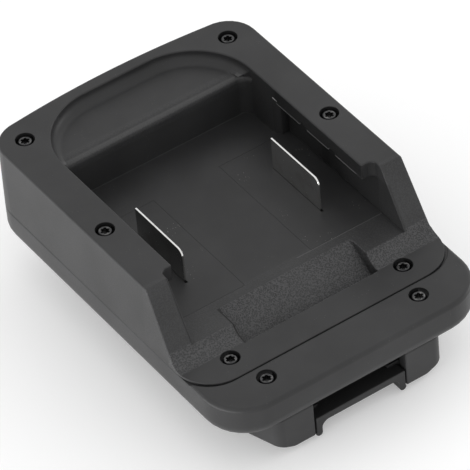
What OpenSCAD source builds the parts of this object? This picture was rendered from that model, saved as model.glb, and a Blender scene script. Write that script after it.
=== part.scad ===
// Slide-on battery adapter for a hand tool.
// The origin is on the surface that it stands on, under the middle of its box.
// +Y points to the closed rear end, +Z up to the rim of the battery pocket.

/* [Case] */
// Width of the case at the seam between its two shells
case_w = 82.4; // [80.4:0.2:92]
// Length of the case from the flange's front face to the middle of its back
case_l = 115.8; // [114:0.2:122]
// How far the back is bowed outwards at its middle
back_bow = 1.8; // [0.8:0.1:2.2]
// How far each side leans in from the seam up to the rim
side_draft = 0.8; // [0.1:0.1:1.2]
// How far the back leans in from the seam up to the rim
back_draft = 0.4; // [0:0.1:1]
// Radius of the rear corners at the rim
rear_corner_r = 9; // [6:0.5:11]
// Radius of the flange's front corners
flange_corner_r = 13; // [11:0.5:15]
// Radius of the deck's front corners
deck_corner_r = 11; // [8:0.5:12]
// Radius along the rim's outer edge
rim_edge_r = 0.6; // [0.4:0.1:1]
// Radius along the lower shell's bottom edge
bottom_edge_r = 4.4; // [2:0.2:4.8]
// Radius along the flange's top edge
flange_edge_r = 1.2; // [0.8:0.1:1.8]
// Thickness of the shells' outer walls
wall = 2.2; // [1.8:0.1:2.6]
// Open line between the two shells
seam_gap = 0.3; // [0.2:0.05:0.5]

/* [Heights] */
// Height of the tool foot under the case
foot_h = 14; // [13:0.5:18]
// Height of the lower shell at its sides
lower_h = 10; // [9.5:0.5:14]
// Height of the upper shell at its sides
upper_h = 20; // [19:0.5:24]
// How far the flange's top stands above the seam
flange_rise = 0.5; // [0.4:0.1:0.7]
// How far the deck stands above the seam
deck_rise = 0.8; // [0.7:0.1:1.2]
// Thickness of the lower shell's floor
lower_floor_t = 2.4; // [2:0.1:2.8]

/* [Battery pocket] */
// Depth of the pocket floor under the rim
pocket_depth = 16.5; // [15.5:0.5:16.5]
// Thickness of the pocket floor
pocket_floor_t = 2.2; // [1.8:0.1:2.4]
// Width between the pocket's side walls
pocket_w = 67.2; // [66:0.2:67.4]
// Width between the rail lips, which is the width of the scoop too
lip_gap = 60; // [58:0.5:62]
// Thickness of the rail lips
lip_t = 5.2; // [4:0.2:6]
// Length of the rail lips
lip_l = 39.4; // [30:0.2:42]
// Width of the notch between an arm's front end and its rail lip
lip_notch = 3.6; // [3:0.2:5]
// Length of the rim from the back to the arms' front ends
rim_l = 78.3; // [76:0.1:80]
// Distance from the back of the rim to the pocket's rear wall
shelf_l = 21.3; // [20:0.1:24]
// Depth of the scooped shelf under the rim
shelf_drop = 3.6; // [3:0.2:4.6]
// Width of the rim strip behind the scoop
back_strip = 3.9; // [3.6:0.1:5]
// Radius of the scoop's rear corners
scoop_r = 20; // [12:1:24]
// Radius where the scoop's wall meets the shelf
scoop_fillet_r = 2.8; // [1:0.2:2.8]
// Radius over the shelf's front edge
shelf_edge_r = 2.4; // [1:0.2:3]
// Radius of the pocket's rear corners
pocket_corner_r = 3; // [2:0.5:4]
// Angle of the arms' sloped fronts
arm_slope = 60; // [58:1:66]
// Radius where the slope runs out onto the deck
slope_fillet_r = 4.8; // [3:0.2:5]
// Length of the flange in front of the deck
flange_l = 13.3; // [12.5:0.1:14]

/* [Catch recess] */
// Width of the recess for the battery's catch
catch_w = 42; // [38:0.5:43]
// Length of the recess
catch_l = 12; // [10:0.5:12]
// Distance from the arms' front ends to the recess's front wall
catch_front = 14.5; // [14:0.1:15]
// Slope of the recess's floor
catch_slope = 33; // [28:1:34]
// Radius of the recess's rear corners
catch_corner_r = 1.6; // [1:0.2:3]
// Thickness of the recess's walls
catch_wall = 1.8; // [1.2:0.1:2]

/* [Blades and their carriers] */
// Distance between the middles of the two blades
blade_gap = 43.4; // [42:0.2:44]
// Thickness of a blade
blade_t = 0.6; // [0.6:0.1:1]
// Height of a blade above the pocket floor
blade_h = 10.6; // [8:0.2:11]
// Length of a blade
blade_l = 21.8; // [16:0.2:22.4]
// Distance from the pocket's rear wall to the blades
blade_back = 23.6; // [22.6:0.2:25]
// Radius of a blade's front corner
blade_corner_r = 2.2; // [1:0.1:3]
// Length of a contact carrier
carrier_l = 42.3; // [40:0.1:42.4]
// Distance from the middle of the pocket to a carrier
carrier_in = 10.6; // [9:0.2:12]
// Distance from the pocket's side wall to a carrier
carrier_out = 0.4; // [0.4:0.1:1.2]
// Clearance round a carrier and round a blade in its slot
carrier_clear = 0.06; // [0.05:0.01:0.15]
// Length of the free end of the slot in front of a blade
slot_end = 0.6; // [0.4:0.1:1.4]

/* [Tool foot] */
// Width of the foot across its rails
foot_w = 58; // [56:0.5:59]
// Length of the foot
foot_l = 76; // [72:1:84]
// Width of the foot's front face
foot_front_w = 51.6; // [50:0.2:53]
// Radius of the foot's front corners
foot_corner_r = 3; // [1:0.5:3.5]
// Radius along the bottom edge of the foot's front face
foot_edge_r = 0.8; // [0.4:0.1:1]
// Length over which the foot's front widens
foot_taper_l = 9.6; // [8:0.2:11]
// Distance from the flange's front face to the foot
foot_back = 2.8; // [2.4:0.1:3.4]
// How far the base stands below the foot's front and rails
base_drop = 2; // [1.2:0.1:2.2]
// Width of the cut along the foot's bottom corners
foot_cut_w = 5; // [3:0.1:5.2]
// Height of the cut along the foot's bottom corners
foot_cut_h = 2.3; // [2:0.1:3.2]
// Height of the rail grooves
groove_h = 4.6; // [4.4:0.1:5]
// Depth of the rail grooves
groove_d = 4.5; // [4.2:0.1:5]
// Distance from the lower shell to the top of the rail grooves
groove_top = 4; // [3.5:0.1:4.2]
// Length of the foot's front in front of the grooves
groove_start = 12.4; // [12:0.2:15]
// Distance between the two terminal slots
terminal_gap = 18; // [16:0.5:19]
// Width of a terminal slot
terminal_slot_w = 1.8; // [1.4:0.1:2.2]

/* [Latch] */
// Width of the notch for the latch
latch_notch_w = 29.3; // [28:0.1:30]
// Gap at each side of the latch
latch_side_gap = 0.5; // [0.3:0.05:0.6]
// How far the latch is pulled up to let go
latch_travel = 4; // [3:0.5:4]
// Thickness of the latch's bar
latch_bar_t = 2.1; // [1.6:0.1:2.4]
// Height of the latch's bar above the hooks' ends
latch_bar_h = 4.4; // [4:0.1:4.8]
// Depth of the latch's front from its face
latch_front_d = 4.5; // [4:0.1:4.5]
// Width of a hooked leg
latch_leg_w = 1.8; // [1.6:0.1:2.6]
// Depth of the hooked legs from the latch's face
latch_leg_d = 6.5; // [5:0.1:7]
// Radius between a leg and the bar
latch_fillet_r = 2.1; // [1.6:0.1:2.8]
// Wire thickness of a latch spring
spring_wire = 0.45; // [0.4:0.05:0.5]
// Outer width of a latch spring
spring_w = 3.4; // [3:0.1:3.6]
// Number of coils in a latch spring
spring_coils = 7; // [5:1:8]

/* [Screws] */
// Width of a case screw's head
head_w = 4.2; // [3.8:0.1:4.4]
// Height of a case screw's head
head_h = 1.7; // [1.4:0.1:2]
// Width of a case screw's shank
shank_w = 2.5; // [2.2:0.1:2.6]
// Width of the counterbores
counterbore_w = 5.3; // [5:0.1:5.6]
// How far the heads lie under the surface
head_sink = 0.5; // [0.3:0.1:0.8]
// Width of the small inner screws' shanks
small_shank_w = 2; // [1.8:0.1:2.2]
// Distance between the two rear rim screws
rear_screw_gap = 65.4; // [64:0.2:66]
// Distance from the back of the rim to the rear rim screws
rear_screw_back = 9.5; // [9:0.1:10.5]
// Distance between the two middle rim screws
mid_screw_gap = 71.4; // [71.2:0.2:71.8]
// Distance from the back of the rim to the middle rim screws
mid_screw_back = 52.4; // [48:0.1:54]
// Distance between the two deck screws
deck_screw_gap = 54.9; // [53:0.1:56]
// Distance from the flange's front face to the deck screws
deck_screw_front = 20.4; // [19:0.1:21]
// Distance between the two flange screws
flange_screw_gap = 48.2; // [46:0.1:48.4]
// Distance from the flange's front face to the flange screws
flange_screw_front = 9; // [8.6:0.1:9.4]

/* [Hidden] */
// Smoothness of exact round shapes and of rounded shells
$fn = 64;
shell_fn = 32;
edge_fn = 24;
// Overlap that makes cuts run clear of faces
eps = 0.05;

// Main levels
z_case = foot_h;
z_seam = z_case + lower_h;
z_flange = z_seam + flange_rise;
z_deck = z_seam + deck_rise;
z_rim = z_seam + upper_h;
z_floor = z_rim - pocket_depth;
z_floor_under = z_floor - pocket_floor_t;
z_shelf = z_rim - shelf_drop;
z_lip = z_rim - lip_t;
z_in = z_case + lower_floor_t;
z_foot_front = base_drop;
z_upper_base = z_seam + seam_gap / 2;

// Main stations along the case
y_back = case_l / 2;
y_front = -case_l / 2;
y_rim_back = y_back - back_draft;
y_corner_back = y_back - back_bow;
y_arm = y_rim_back - rim_l;
y_deck = y_front + flange_l;
y_lip = y_arm + lip_notch;
y_lip_end = y_lip + lip_l;
y_wall = y_rim_back - shelf_l;
y_scoop = y_rim_back - back_strip;
y_foot = y_front + foot_back;
y_foot_back = y_foot + foot_l;
rim_w = case_w - 2 * side_draft;

// Slope of the arms and its run-out on the deck
y_slope_foot = y_arm - (z_rim - z_deck) / tan(arm_slope);
slope_tangent = slope_fillet_r * tan(arm_slope / 2);

// Details of the rail lips
groove_cut = 1.5;
lip_nick_at = [0.32, 0.65];
lip_nick_l = 3;
lip_nick_d = 1;

// Inside of the lower shell and the plug of the upper shell in it
plug_clear = 0.2;
deck_t = 3.6;
seat_overlap = 4;
inner_wall = 2;
tongue_t = 1.2;
tongue_h = 1.5;
tongue_front = 8;
room_under = 2;
room_r = 2;
shelf_room_r = 8;
arm_room_back = 10;
cut_run = 1;
case_rear_r = rear_corner_r + 2 * side_draft;

// Recess for the battery's catch
y_catch = y_arm - catch_front;
y_catch_back = y_catch + catch_l;
z_catch = z_floor - catch_l * tan(catch_slope);

// Contact carriers
carrier_y = y_arm + 0.7;
carrier_flange_t = 1.5;
carrier_flange_w = 1.5;
carrier_flange_z = z_floor_under - carrier_flange_t - 0.1;
carrier_ear_z = z_floor_under - 3.5;
carrier_ear_r = 2.6;
carrier_boss_r = 2.1;
carrier_ear_out = 3.9;
carrier_ear_end = 6;
carrier_screw_x = carrier_in - carrier_ear_out;
carrier_ear_y = [carrier_y + carrier_ear_end, carrier_y + carrier_l - carrier_ear_end];
carrier_block_w = 5;
carrier_rib = 1.5;

// Blades
blade_x = blade_gap / 2;
blade_y1 = y_wall - blade_back;
blade_y0 = blade_y1 - blade_l;
blade_z = z_floor + blade_h;
blade_tail_in = 3;
blade_tail_h = 3.6;
blade_tail_z = z_in + blade_tail_h;
blade_tab_l = 7;
blade_tab_w = 8;

// Latch
latch_w = latch_notch_w - 2 * latch_side_gap;
latch_tip_z = 1.2;
latch_tip_r = 1;
latch_tip_out = 0.2;
latch_bar_z = latch_tip_z + latch_bar_h;
latch_notch_d = 9.4;
latch_top_gap = 1.5;
latch_arm_d = 5;
latch_arm_out = 5.9;
latch_arm_gap = 0.3;
latch_arm_y = y_foot + latch_front_d - 0.9;
latch_ledge_z = z_foot_front + 1.6;
latch_arm_z = latch_ledge_z + latch_arm_gap;
latch_arm_z1 = z_case - latch_travel - latch_top_gap;
spring_x = latch_w / 2 + 3.3;
spring_y = latch_arm_y + latch_arm_d / 2;
spring_z = latch_arm_z + 0.9;
spring_bore_gap = 0.25;

// Foot inside
foot_wall = 2.2;
foot_base_t = 2.4;
foot_cut_run = 4;
groove_z1 = z_case - groove_top;
groove_z0 = groove_z1 - groove_h;
web_w = foot_w - 2 * groove_d;
foot_taper = atan2((foot_w - foot_front_w) / 2, foot_taper_l);
foot_room_w = web_w - 2 * foot_wall;
foot_room_y0 = y_foot + latch_notch_d + foot_wall;
foot_room_y1 = y_foot_back - foot_wall;

// Terminal block and clips in the foot
block_w = 29;
block_l = 26;
block_back = 6;
block_y0 = y_foot_back - foot_wall - block_l - block_back;
block_z0 = foot_base_t + 0.1;
block_h = 8.8;
block_ear_x = 17;
block_ear_r = 2.6;
block_ear_t = 2;
clip_leaf_t = 0.6;
clip_open = 2.6;
clip_l = 19;
clip_h = 6.4;
clip_z0 = block_z0 + 1.1;
clip_back_y = block_y0 + 3;
clip_tail_l = 4;
clip_tail_w = 2.4;
clip_straight = 6;
clip_lead = 4;
clip_pinch = 0.55;
clip_flare = 1.1;

// Screws that hold the foot from inside the case
foot_screw_x = 17;
foot_screw_y = y_foot_back - foot_wall - 3.4;
boss_r = 3;

// Wires
wire_r = 1.1;
wire_bend_r = 2.4;
wire_hole_w = 25;
wire_hole_l = 9;
wire_hole_gap = 1;
wire_hole_y = block_y0 - wire_hole_l - wire_hole_gap;
wire_start = 1;
wire_gap = 0.05;
wire_end_gap = 0.6;

// Running room round screw shanks
shank_clear = 0.2;
thread_clear = 0.05;
small_head_w = 3.6;
small_head_h = 1.3;
boss_wall = 1.5;
mid_column_r = shank_w / 2 + shank_clear + boss_wall;

// Plan with a width, a front and a rear end, and a radius at each pair of corners
module plan(w, y0, y1, front_r, rear_r) {
    intersection() {
        translate([-w / 2, y0])
            square([w, y1 - y0]);
        union() {
            translate([-w / 2, y0 + front_r])
                square([w, y1 - rear_r - y0 - front_r]);
            translate([-w / 2 + front_r, y0])
                square([w - 2 * front_r, y1 - y0 - rear_r]);
            translate([-w / 2 + rear_r, y0 + front_r])
                square([w - 2 * rear_r, y1 - y0 - front_r]);
            for (side = [-1, 1]) {
                translate([side * (w / 2 - front_r), y0 + front_r])
                    circle(front_r);
                translate([side * (w / 2 - rear_r), y1 - rear_r])
                    circle(rear_r);
            }
        }
    }
}

// A plan raised from z0 to z1
module slab(w, y0, y1, front_r, rear_r, z0, z1) {
    translate([0, 0, z0])
        linear_extrude(z1 - z0)
            plan(w, y0, y1, front_r, rear_r);
}

// A profile in Y and Z carried across the width
module across(w) {
    translate([-w / 2, 0, 0])
        rotate([90, 0, 90])
            linear_extrude(w)
                children();
}

// The same piece at both sides
module both_sides() {
    children();
    mirror([1, 0, 0])
        children();
}

// A ring with a round edge, for the hulls of the shells
module edge_ring(corner_r, edge_r) {
    rotate_extrude($fn = shell_fn)
        translate([corner_r - edge_r, 0])
            circle(edge_r, $fn = edge_fn);
}

// A box between two corners
module block(low, high) {
    translate(low)
        cube(high - low);
}

// A bowed edge between two rear corners, with the same round edge as their rings
module edge_bow(half_w, y, edge_r) {
    bow_r = (half_w * half_w + back_bow * back_bow) / (2 * back_bow);
    half_angle = asin(half_w / bow_r);
    translate([0, y - bow_r, 0])
        rotate([0, 0, 90 - half_angle])
            rotate_extrude(angle = 2 * half_angle, $fn = 400)
                translate([bow_r - edge_r, 0])
                    circle(edge_r, $fn = edge_fn);
}

// Both rear corners and the bow between them, at one level
module rear_edge(w, y, corner_r, edge_r) {
    for (side = [-1, 1])
        translate([side * (w / 2 - corner_r), y - back_bow - corner_r, 0])
            edge_ring(corner_r, edge_r);
    edge_bow(w / 2 - corner_r, y, edge_r);
}

// Both front corners, at one level
module front_edge(w, y, corner_r, edge_r) {
    for (side = [-1, 1])
        translate([side * (w / 2 - corner_r), y + corner_r, 0])
            edge_ring(corner_r, edge_r);
}

// Solid outer form of the upper shell, leaning in towards the rim
module upper_form() {
    thin = eps / 2;
    hull() {
        translate([0, 0, z_rim - rim_edge_r]) {
            rear_edge(rim_w, y_rim_back, rear_corner_r, rim_edge_r);
            front_edge(rim_w, y_deck, deck_corner_r, rim_edge_r);
        }
        translate([0, 0, z_upper_base + thin]) {
            rear_edge(case_w, y_back, case_rear_r, thin);
            front_edge(case_w, y_deck, deck_corner_r, thin);
        }
    }
}

// Solid outer form of the lower shell, round along its bottom and along the flange's top
module lower_form() {
    hull()
        for (level = [[z_case + bottom_edge_r, bottom_edge_r], [z_flange - flange_edge_r, flange_edge_r]])
            translate([0, 0, level[0]]) {
                rear_edge(case_w, y_back, case_rear_r, level[1]);
                front_edge(case_w, y_front, flange_corner_r, level[1]);
            }
}

// What is cut away in front of the arms and above the deck
module slope_cut() {
    across(case_w + 2)
        difference() {
            polygon([
                [y_arm + 2 / tan(arm_slope), z_rim + 2],
                [y_slope_foot, z_deck],
                [y_front - 2, z_deck],
                [y_front - 2, z_rim + 2]
            ]);
            difference() {
                polygon([
                    [y_slope_foot - slope_tangent, z_deck - eps],
                    [y_slope_foot + eps, z_deck - eps],
                    [y_slope_foot + slope_tangent * cos(arm_slope) + eps,
                        z_deck + slope_tangent * sin(arm_slope)],
                    [y_slope_foot - slope_tangent + eps, z_deck + slope_fillet_r]
                ]);
                translate([y_slope_foot - slope_tangent, z_deck + slope_fillet_r])
                    circle(slope_fillet_r);
            }
        }
}

// Scoop behind the pocket: an arched hollow with a round foot along its wall
module scoop_cut() {
    f = scoop_fillet_r;
    y0 = y_wall - pocket_corner_r;
    w = lip_gap;
    slab(w - 2 * f, y0, y_scoop - f, eps, scoop_r - f, z_shelf, z_rim + 1);
    slab(w, y0, y_scoop, eps, scoop_r, z_shelf + f, z_rim + 1);
    for (side = [-1, 1]) {
        translate([side * (w / 2 - scoop_r), y_scoop - scoop_r, z_shelf + f])
            rotate([0, 0, side > 0 ? 0 : 90])
                rotate_extrude(angle = 90)
                    translate([scoop_r - f, 0])
                        circle(f);
        translate([side * (w / 2 - f), y0, z_shelf + f])
            rotate([-90, 0, 0])
                cylinder(r = f, h = y_scoop - scoop_r - y0);
    }
    translate([-w / 2 + scoop_r, y_scoop - f, z_shelf + f])
        rotate([0, 90, 0])
            cylinder(r = f, h = w - 2 * scoop_r);
}

// Rounds the shelf's front edge, also round the pocket's rear corners
module shelf_edge_cut() {
    e = shelf_edge_r;
    across(lip_gap - 2 * pocket_corner_r)
        difference() {
            translate([y_wall - eps, z_shelf - e])
                square([e + eps, e + eps]);
            translate([y_wall + e, z_shelf - e])
                circle(e);
        }
    for (side = [-1, 1])
        translate([side * (lip_gap / 2 - pocket_corner_r), y_wall - pocket_corner_r, z_shelf - e])
            rotate([0, 0, side > 0 ? 0 : 90])
                rotate_extrude(angle = 90)
                    difference() {
                        translate([pocket_corner_r - eps, 0])
                            square([e + eps, e + eps]);
                        translate([pocket_corner_r + e, 0])
                            circle(e);
                    }
}

// Room for the battery: the pocket, the rail grooves under the lips and the notches before them
module pocket_cut() {
    y0 = y_slope_foot - slope_tangent;
    slab(lip_gap, y0, y_wall, eps, pocket_corner_r, z_floor, z_rim + 1);
    slab(pocket_w, y0, y_lip_end, eps, eps, z_floor, z_lip);
    slab(pocket_w, y0, y_lip, eps, lip_notch / 2, z_lip - eps, z_rim + 1);
    both_sides() {
        // cut corner at the rear end of a groove
        translate([0, 0, z_floor])
            linear_extrude(z_lip - z_floor)
                polygon([
                    [lip_gap / 2 - eps, y_lip_end - eps], [lip_gap / 2 + groove_cut, y_lip_end - eps],
                    [lip_gap / 2 - eps, y_lip_end + groove_cut]
                ]);
        // small notches in a lip's lower edge
        for (part = lip_nick_at)
            block([lip_gap / 2 - eps, y_lip_end - part * lip_l - lip_nick_l / 2, z_lip - eps],
                [lip_gap / 2 + lip_nick_d, y_lip_end - part * lip_l + lip_nick_l / 2, z_lip + lip_nick_d]);
    }
}

// Sloped recess in the deck for the battery's catch
module catch_cut() {
    intersection() {
        slab(catch_w, y_catch, y_catch_back, 0.4, catch_corner_r, z_catch - 1, z_rim);
        across(catch_w + 2)
            polygon([
                [y_catch_back, z_floor], [y_catch - 1, z_floor - (catch_l + 1) * tan(catch_slope)],
                [y_catch - 1, z_rim], [y_catch_back, z_rim]
            ]);
    }
}

// Pan under the recess
module catch_pan() {
    drop = catch_wall / cos(catch_slope);
    across(catch_w + 2 * catch_wall)
        polygon([
            [y_catch_back, z_floor - drop], [y_catch_back, z_floor - eps],
            [y_catch - catch_wall, z_deck - eps], [y_catch - catch_wall, z_catch - drop],
            [y_catch, z_catch - drop]
        ]);
}

// Places of the case screws, each as [x, y, level of the surface they sink into]
rear_screw = [rear_screw_gap / 2, y_rim_back - rear_screw_back, z_rim];
mid_screw = [mid_screw_gap / 2, y_rim_back - mid_screw_back, z_rim];
deck_screw = [deck_screw_gap / 2, y_front + deck_screw_front, z_deck];
flange_screw = [flange_screw_gap / 2, y_front + flange_screw_front, z_flange];

// Ends of the case screws
case_screw_up = 1.2;
rim_screw_end = z_in + case_screw_up;
deck_screw_end = z_in + case_screw_up;
flange_screw_up = 4.2;
flange_screw_end = z_foot_front + flange_screw_up;

// Hole for a case screw's shank and head, from its surface down to z0
module screw_hole(place, z0) {
    both_sides()
        translate([place[0], place[1], 0]) {
            translate([0, 0, z0])
                cylinder(d = shank_w + 2 * shank_clear, h = place[2] - z0);
            translate([0, 0, place[2] - head_sink - head_h])
                cylinder(d = counterbore_w, h = head_sink + head_h + 1);
        }
}

// Column round a screw
module screw_column(place, z0, z1, r) {
    both_sides()
        translate([place[0], place[1], z0])
            cylinder(r = r, h = z1 - z0);
}

// Hole that the end of a screw bites into
module thread_hole(place, z0, z1, d) {
    both_sides()
        translate([place[0], place[1], z0])
            cylinder(d = d + 2 * thread_clear, h = z1 - z0);
}

// Hollow of the upper shell: round the pocket's walls and under the shelf
module upper_hollow() {
    z0 = z_seam - room_under;
    difference() {
        union() {
            // under the pocket floor
            slab(pocket_w + 2 * inner_wall - cut_run, y_slope_foot + seat_overlap, y_wall + cut_run,
                room_r, room_r, z0, z_floor_under);
            // in the side walls
            both_sides()
                block([pocket_w / 2 + inner_wall, y_arm + cut_run, z0],
                    [rim_w / 2 - inner_wall, y_lip_end + arm_room_back, z_rim - inner_wall]);
            // under the shelf
            slab(lip_gap - room_r, y_wall + inner_wall, y_corner_back - inner_wall - cut_run,
                room_r, shelf_room_r, z0, z_shelf - inner_wall);
        }
        screw_column(rear_screw, z0, z_rim, counterbore_w / 2 + boss_wall);
        screw_column(mid_screw, z0, z_rim, mid_column_r);
    }
}

// Rib of the upper shell that stands inside the lower shell's wall and closes the seam
module tongue() {
    gap = wall + plug_clear;
    y0 = y_deck + gap + tongue_front;
    difference() {
        slab(case_w - 2 * gap, y0, y_corner_back - gap, eps, case_rear_r - gap,
            z_seam - tongue_h, z_seam + tongue_h);
        slab(case_w - 2 * gap - 2 * tongue_t, y0 - cut_run, y_corner_back - gap - tongue_t,
            eps, case_rear_r - gap - tongue_t, z_seam - tongue_h - cut_run, z_seam + tongue_h + cut_run);
        // passes the lower shell's columns
        screw_column(mid_screw, z_seam - tongue_h - cut_run, z_upper_base, mid_column_r + plug_clear);
    }
}

// Windows in the pocket floor for the contact carriers
module carrier_window(clear) {
    both_sides()
        block([carrier_in - clear, carrier_y - clear, z_seam - room_under],
            [pocket_w / 2 - carrier_out + clear, carrier_y + carrier_l + clear, z_floor + cut_run]);
}

module upper_housing() {
    color("#3a3a3c")
        difference() {
            union() {
                difference() {
                    upper_form();
                    upper_hollow();
                }
                // deck plate that plugs into the lower shell
                slab(case_w - 2 * (wall + plug_clear), y_deck + wall + plug_clear,
                    y_slope_foot + seat_overlap, deck_corner_r - wall - plug_clear, eps,
                    z_deck - deck_t, z_upper_base + eps);
                catch_pan();
                tongue();
                // columns over the carriers' ears
                for (y = carrier_ear_y)
                    screw_column([carrier_screw_x, y, 0], carrier_ear_z + carrier_flange_t + eps,
                        z_floor_under + eps, carrier_boss_r);
            }
            slope_cut();
            pocket_cut();
            scoop_cut();
            shelf_edge_cut();
            catch_cut();
            carrier_window(carrier_clear);
            screw_hole(rear_screw, z_seam - 1);
            screw_hole(mid_screw, z_seam - 1);
            screw_hole(deck_screw, z_seam - 3);
            for (y = carrier_ear_y)
                thread_hole([carrier_screw_x, y, 0], z_seam - room_under, z_floor - 0.8, small_shank_w);
        }
}

module lower_housing() {
    thread_r = shank_w / 2 + thread_clear + boss_wall;
    color("#39393b")
        difference() {
            union() {
                difference() {
                    lower_form();
                    // room inside, under the upper shell and under the flange
                    slab(case_w - 2 * wall, y_deck + wall, y_corner_back - wall,
                        deck_corner_r - wall, case_rear_r - wall, z_in, z_flange + 1);
                    slab(case_w - 6 * wall, y_front + 2 * wall, y_deck + 2 * wall,
                        flange_corner_r - 2 * wall, 1, z_in, z_flange - wall);
                    // seat of the upper shell
                    slab(case_w + 2, y_deck - seam_gap, y_back + 2,
                        deck_corner_r + seam_gap, 1, z_seam - seam_gap / 2, z_flange + 1);
                }
                intersection() {
                    union() {
                        screw_column(rear_screw, z_in - eps, z_seam - seam_gap / 2, thread_r);
                        screw_column(mid_screw, z_in - eps, z_seam - seam_gap / 2, thread_r);
                        screw_column(deck_screw, z_in - eps, z_deck - deck_t - plug_clear, thread_r);
                        screw_column(flange_screw, z_in - eps, z_flange - 0.6, thread_r + 0.6);
                    }
                    lower_form();
                }
            }
            thread_hole(rear_screw, rim_screw_end - 0.5, z_rim, shank_w);
            thread_hole(mid_screw, rim_screw_end - 0.5, z_rim, shank_w);
            thread_hole(deck_screw, deck_screw_end - 0.5, z_rim, shank_w);
            screw_hole(flange_screw, z_case - 1);
            // passage for the wires and holes for the foot's screws
            block([-wire_hole_w / 2, wire_hole_y, z_case - 1],
                [wire_hole_w / 2, wire_hole_y + wire_hole_l, z_in + 1]);
            thread_hole([foot_screw_x, foot_screw_y, 0], z_case - 1, z_in + 1, shank_w + shank_clear);
        }
}

// Plan of the foot: round front corners, then it widens over the taper
module foot_plan() {
    r = foot_corner_r;
    reach = r / tan(45 + foot_taper / 2);
    for (side = [-1, 1]) {
        polygon([
            [0, y_foot],
            [side * (foot_front_w / 2 - reach), y_foot],
            [side * (foot_front_w / 2 + reach * sin(foot_taper)), y_foot + reach * cos(foot_taper)],
            [side * foot_w / 2, y_foot + foot_taper_l],
            [side * foot_w / 2, y_foot_back],
            [0, y_foot_back]
        ]);
        translate([side * (foot_front_w / 2 - reach), y_foot + r])
            circle(r);
    }
}

// Cut along a bottom corner of the foot, past a station in a direction and a little before it
module foot_bevel(x, y, turn, length) {
    w = foot_cut_w;
    h = foot_cut_h;
    translate([x, y, z_foot_front])
        rotate([0, 0, -turn])
            translate([0, length, 0])
                rotate([90, 0, 0])
                    linear_extrude(length + foot_cut_run)
                        polygon([[-w * (1 + 1 / h), -1], [w / h, h + 1], [w + 3, h + 1], [w + 3, -1]]);
}

// Rounds the bottom edge of the foot's front face
module foot_edge_cut() {
    r = foot_edge_r;
    across(foot_w + 2)
        difference() {
            translate([y_foot - 1, z_foot_front - 1])
                square([r + 1, r + 1]);
            translate([y_foot + r, z_foot_front + r])
                circle(r);
            translate([y_foot + r, z_foot_front])
                square(r);
        }
}

// Room in the foot for the latch: its notch and the two side pockets for its arms
module latch_room() {
    arm_w = latch_w + 2 * (latch_arm_out + latch_arm_gap);
    block([-latch_notch_w / 2, y_foot - 1, -1],
        [latch_notch_w / 2, y_foot + latch_notch_d - 1, z_case + 1]);
    block([-arm_w / 2, latch_arm_y - latch_arm_gap, latch_ledge_z],
        [arm_w / 2, latch_arm_y + latch_arm_d + latch_arm_gap, z_case + 1]);
}

module tool_foot() {
    block_mid_y = block_y0 + block_l / 2;
    color("#37373a")
        difference() {
            union() {
                difference() {
                    translate([0, 0, z_foot_front])
                        linear_extrude(z_case - z_foot_front)
                            foot_plan();
                    both_sides() {
                        foot_bevel(foot_front_w / 2, y_foot, foot_taper, foot_taper_l + foot_cut_run);
                        foot_bevel(foot_w / 2, y_foot + foot_taper_l, 0, foot_l);
                        // rail groove
                        block([web_w / 2, y_foot + groove_start, groove_z0],
                            [foot_w, y_foot_back + 1, groove_z1]);
                    }
                    foot_edge_cut();
                    // room for the terminal block
                    block([-foot_room_w / 2, foot_room_y0, foot_base_t],
                        [foot_room_w / 2, foot_room_y1, z_case + 1]);
                }
                // base that the adapter stands on
                slab(foot_w - 2 * foot_cut_w - 2, y_foot + latch_notch_d, y_foot_back, 2, 2,
                    0, foot_base_t + eps);
                // columns for the foot's screws and for the terminal block
                screw_column([foot_screw_x, foot_screw_y, 0], foot_base_t, z_case, boss_r);
                screw_column([block_ear_x, block_mid_y, 0], foot_base_t,
                    block_z0 + block_h - block_ear_t - 0.1, block_ear_r);
            }
            latch_room();
            // slots that the tool's blades run in, open to the rear
            both_sides()
                block([(terminal_gap - terminal_slot_w) / 2, clip_back_y, -1],
                    [(terminal_gap + terminal_slot_w) / 2, y_foot_back + 1, groove_z1]);
            thread_hole(flange_screw, flange_screw_end - 0.5, z_case + 1, shank_w);
            thread_hole([foot_screw_x, foot_screw_y, 0], foot_base_t + 1.6, z_case + 1, shank_w);
            thread_hole([block_ear_x, block_mid_y, 0], foot_base_t + 1, z_case, small_shank_w);
        }
}

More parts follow.
